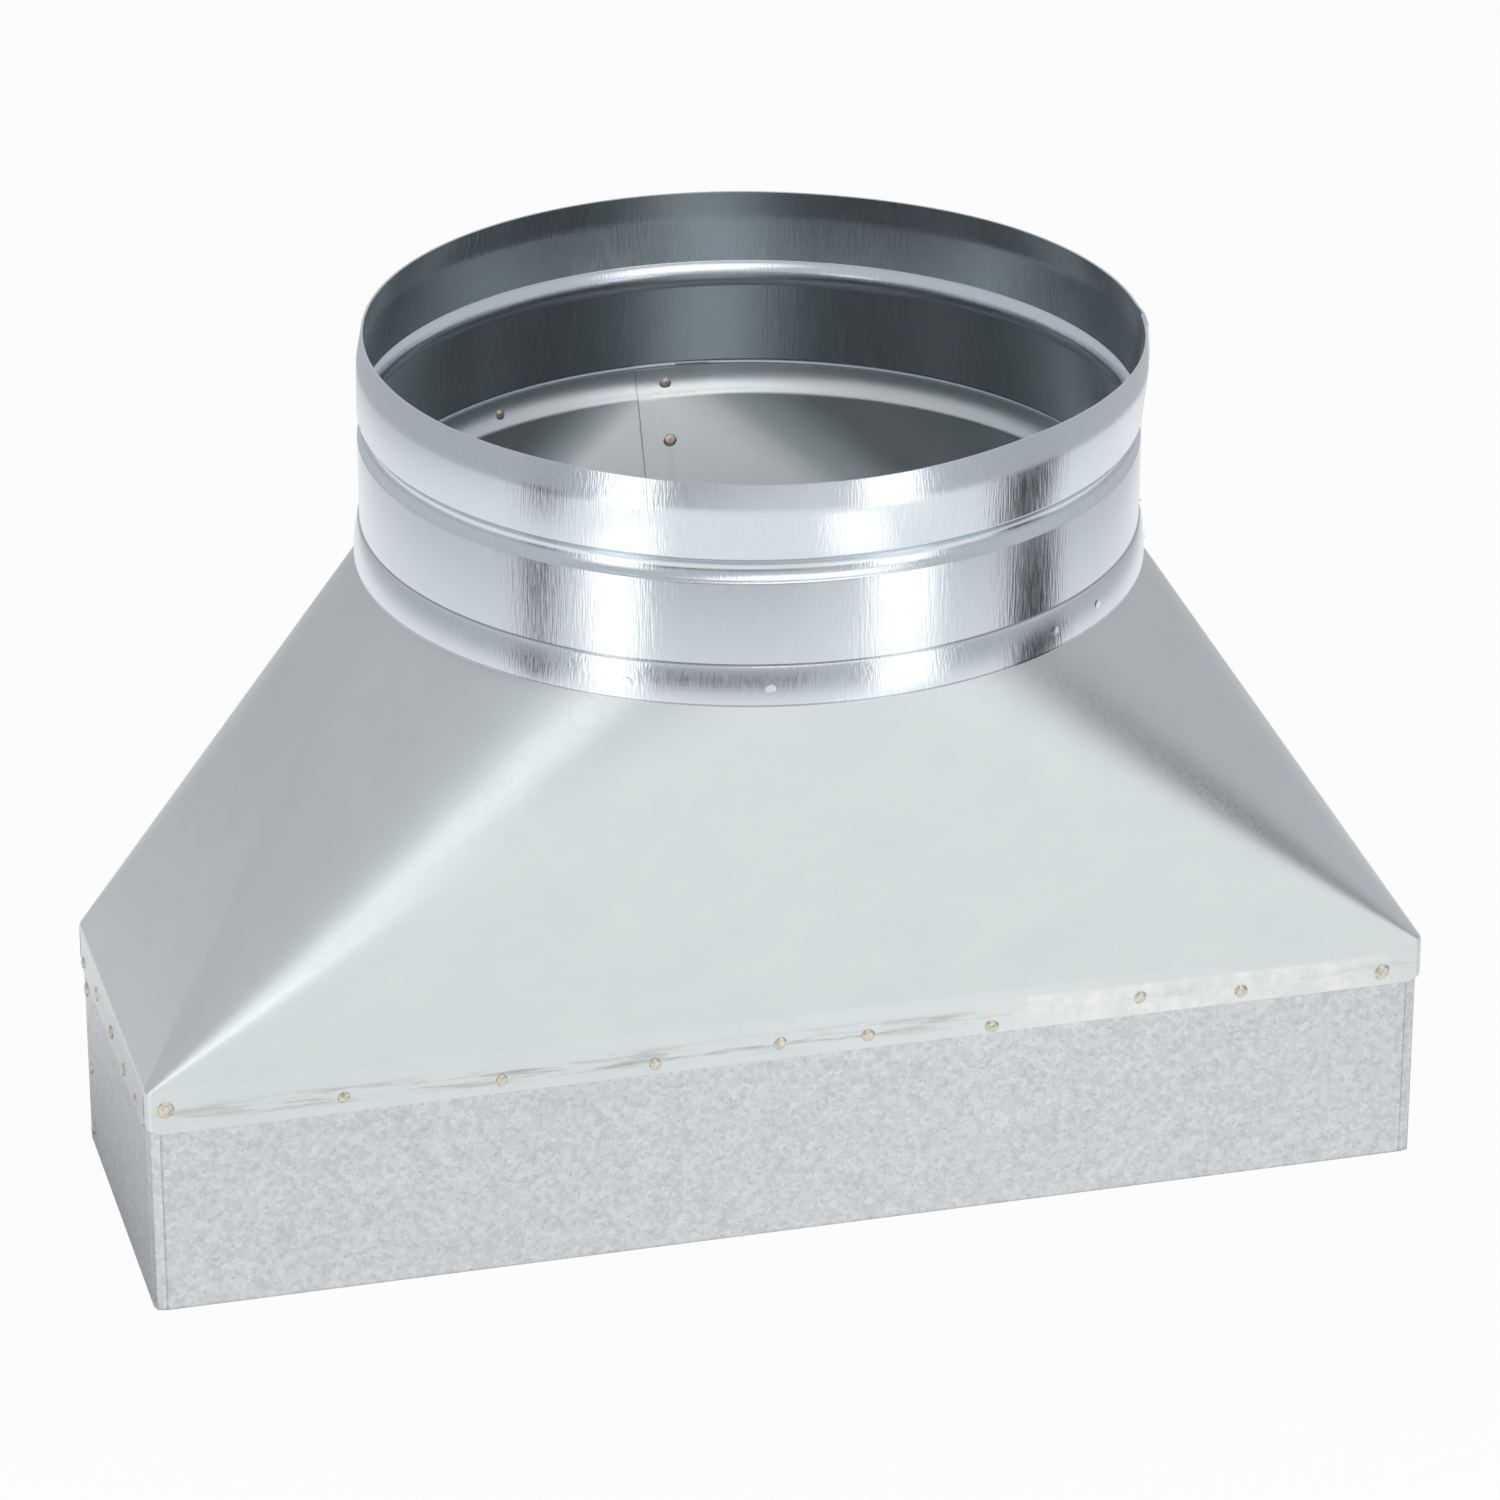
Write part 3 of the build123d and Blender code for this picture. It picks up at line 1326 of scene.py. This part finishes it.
@dataclass
class Studio:
    """A white floor in a soft grey room, five softboxes, dark cards and the camera.

    Two tall softboxes and two low ones are in front of the part, and a large one is above it. The cards
    stand off its ends and far in front. They put the bright and dark stripes on the metal.
    """

    azimuth: float = -14.71
    elevation: float = 25.26
    distance: float = 2197.5
    target: tuple = (1.27, 3.25, 142.95)
    lens: float = 161.95
    sensor: float = 36.0
    farthest: float = 100000.0
    floor_size: float = 30000.0
    floor_glow: float = 0.94
    floor_grey: str = "#E8E8E8"
    pool_glow: float = 1.0
    pool_middle: tuple = (-45.0, -150.0, 0.0)
    pool_shape: tuple = (1.08, 1.0, 1.0)
    pool_inner: float = 800.0
    pool_outer: float = 960.0
    foot_length: float = 423.5
    foot_width: float = 123.5
    foot_shade: float = 150.0
    front_shade: float = 1.0
    room_colour: str = "#CCCDD1"
    card_grey: str = "#26292C"
    cards: tuple = (
        (64.5, 450.0, 125.0, 160.0),
        (-72.0, 690.0, 100.0, 160.0),
        (-22.0, 1500.0, 1200.0, 180.0),
    )
    lamp_level: float = 265.0
    softboxes: tuple = (
        Softbox("left_softbox", -49.0, 0.0, 550.0, 130.0, 360.0, 0.2),
        Softbox("front_softbox", 25.0, 0.0, 550.0, 160.0, 360.0, 0.22),
        Softbox("left_low_softbox", -49.5, -29.0, 480.0, 120.0, 60.0, 0.033),
        Softbox("front_low_softbox", 15.5, -29.0, 480.0, 120.0, 60.0, 0.028),
        Softbox("high_softbox", 8.0, 52.0, 1600.0, 1200.0, 1300.0, 4.9, "#FFF7EF"),
    )

    def bearing(self, azimuth: float, elevation: float) -> Vector:
        """Gives a way out of the part.

        Args:
            azimuth: 0 to the front and 90 to the right end, in degrees.
            elevation: Angle above the floor, in degrees.

        Returns:
            The way, one long.
        """
        az = radians(azimuth)
        el = radians(elevation)
        return Vector((sin(az) * cos(el), -cos(az) * cos(el), sin(el)))

    def camera(self) -> None:
        """Puts the camera where the photograph was taken from."""
        back = self.bearing(self.azimuth, self.elevation)
        data = bpy.data.cameras.new("camera")
        data.lens = self.lens
        data.sensor_width = self.sensor
        data.clip_end = self.farthest * MM
        camera = bpy.data.objects.new("camera", data)
        camera.location = (Vector(self.target) + back * self.distance) * MM
        camera.rotation_euler = back.to_track_quat("Z", "Y").to_euler()
        bpy.context.scene.collection.objects.link(camera)
        bpy.context.scene.camera = camera

    def pool(self, tree: NodeTree) -> NodeSocket:
        """Makes a mask of the painted pool of light on the floor, which leaves out the part's own
        footprint.

        Args:
            tree: The floor's nodes.

        Returns:
            The mask, 1 beside the part and 0 far from it.
        """
        place = add_node(tree, "ShaderNodeTexCoord").outputs["Object"]
        middle = Vector(self.pool_middle) * MM
        squeezed = add_node(
            tree, "ShaderNodeVectorMath", {0: place, 1: self.pool_shape}, operation="MULTIPLY"
        )
        away = add_node(
            tree, "ShaderNodeVectorMath", {0: squeezed.outputs[0], 1: middle}, operation="DISTANCE"
        )
        near = add_node(
            tree,
            "ShaderNodeMapRange",
            {
                "Value": away.outputs["Value"],
                "From Min": self.pool_inner * MM,
                "From Max": self.pool_outer * MM,
                "To Min": 1.0,
                "To Max": 0.0,
            },
            interpolation_type="SMOOTHSTEP",
        )
        axes = add_node(tree, "ShaderNodeSeparateXYZ", {0: place})
        half_length = self.foot_length / 2
        half_width = self.foot_width / 2
        # Painted shade: the pool's glow fades in beside the part's ends and back, standing in for its
        # shadow there.
        sides = (
            ("X", 1, half_length, self.foot_shade),
            ("X", -1, half_length, self.foot_shade),
            ("Y", 1, half_width, self.foot_shade),
            ("Y", -1, half_width, self.front_shade),
        )
        beside = None
        for axis, sign, half, fade in sides:
            past = add_node(
                tree,
                "ShaderNodeMapRange",
                {
                    "Value": axes.outputs[axis],
                    "From Min": sign * half * MM,
                    "From Max": sign * (half + fade) * MM,
                },
                interpolation_type="SMOOTHSTEP",
            )
            if beside:
                past = add_node(
                    tree, "ShaderNodeMath", {0: beside, 1: past.outputs[0]}, operation="MAXIMUM"
                )
            beside = past.outputs[0]
        mask = add_node(tree, "ShaderNodeMath", {0: near.outputs[0], 1: beside}, operation="MULTIPLY")
        return mask.outputs[0]

    def floor(self) -> None:
        """Lays a white floor that keeps a faint shadow and shows its painted pool of light, which glows
        only for reflected rays, to the metal.
        """
        mesh = bmesh.new()
        bmesh.ops.create_grid(mesh, x_segments=1, y_segments=1, size=self.floor_size * MM)
        material = bpy.data.materials.new("white_matt_floor")
        tree = empty_tree(material)
        matt = add_node(tree, "ShaderNodeBsdfDiffuse", {"Color": colour(self.floor_grey)})
        glow = add_node(tree, "ShaderNodeEmission", {"Color": (1.0, 1.0, 1.0, 1.0), "Strength": 1.0})
        path = add_node(tree, "ShaderNodeLightPath")
        seen = add_node(
            tree,
            "ShaderNodeMath",
            {0: path.outputs["Is Camera Ray"], 1: self.floor_glow},
            operation="MULTIPLY",
        )
        bounced = add_node(
            tree,
            "ShaderNodeMath",
            {0: path.outputs["Is Glossy Ray"], 1: path.outputs["Is Transmission Ray"]},
            operation="MAXIMUM",
        )
        # Painted pool of light: inside the pool the floor glows for reflected rays only.
        mirrored = add_node(
            tree, "ShaderNodeMath", {0: bounced.outputs[0], 1: self.pool_glow}, operation="MULTIPLY"
        )
        share = add_node(
            tree,
            "ShaderNodeMath",
            {0: mirrored.outputs[0], 1: self.pool(tree), 2: seen.outputs[0]},
            operation="MULTIPLY_ADD",
        )
        mix = add_node(
            tree, "ShaderNodeMixShader", {0: share.outputs[0], 1: matt.outputs[0], 2: glow.outputs[0]}
        )
        add_node(tree, "ShaderNodeOutputMaterial", {"Surface": mix.outputs[0]})
        floor = add_object("floor", mesh, material)

    def set_up(self, softbox: Softbox) -> None:
        """Sets up a softbox, out of the camera's sight.

        Args:
            softbox: The lamp.
        """
        out = self.bearing(softbox.azimuth, softbox.elevation)
        data = bpy.data.lights.new(softbox.name, "AREA")
        data.shape = "RECTANGLE"
        data.size = softbox.width * MM
        data.size_y = softbox.height * MM
        data.energy = softbox.power
        data.color = colour(softbox.tint)[:3]
        lamp = bpy.data.objects.new(softbox.name, data)
        lamp.location = (out * softbox.away + Vector((0, 0, self.lamp_level))) * MM
        lamp.rotation_euler = out.to_track_quat("Z", "Y").to_euler()
        lamp.visible_camera = False
        bpy.context.scene.collection.objects.link(lamp)

    def dark_cards(self) -> None:
        """Stands the dark cards on the floor, where only the metal sees them."""
        mesh = bmesh.new()
        for azimuth, away, width, height in self.cards:
            out = self.bearing(azimuth, 0)
            place = Matrix.Translation((out * away + Vector((0, 0, height / 2))) * MM)
            turn = out.to_track_quat("Z", "Y").to_matrix().to_4x4()
            size = Matrix.Diagonal((width / 2 * MM, height / 2 * MM, 1, 1))
            bmesh.ops.create_grid(mesh, x_segments=1, y_segments=1, size=1, matrix=place @ turn @ size)
        material = bpy.data.materials.new("dark_grey_card")
        tree = empty_tree(material)
        matt = add_node(tree, "ShaderNodeBsdfDiffuse", {"Color": colour(self.card_grey)})
        add_node(tree, "ShaderNodeOutputMaterial", {"Surface": matt.outputs[0]})
        cards = add_object("dark_cards", mesh, material)
        cards.visible_camera = False

    def room(self) -> None:
        """Fills the room with an even, soft grey light."""
        world = bpy.data.worlds.new("room")
        bpy.context.scene.world = world
        tree = empty_tree(world)
        light = add_node(tree, "ShaderNodeBackground", {"Color": colour(self.room_colour), "Strength": 1.0})
        add_node(tree, "ShaderNodeOutputWorld", {"Surface": light.outputs[0]})

    def build(self) -> None:
        """Sets up the whole studio."""
        self.floor()
        self.dark_cards()
        for softbox in self.softboxes:
            self.set_up(softbox)
        self.room()
        self.camera()
        bpy.context.scene.view_settings.view_transform = "Standard"


def main() -> None:
    logging.basicConfig(level=logging.INFO)
    for assembly in (RoundCollar(), TransitionBody(), FlatSpigot(), SpotWelds()):
        for piece in assembly.build():
            LOG.info("%s: %s, %d faces", type(assembly).__name__, piece.name, len(piece.data.polygons))
    Studio().build()


if __name__ == "__main__":
    main()
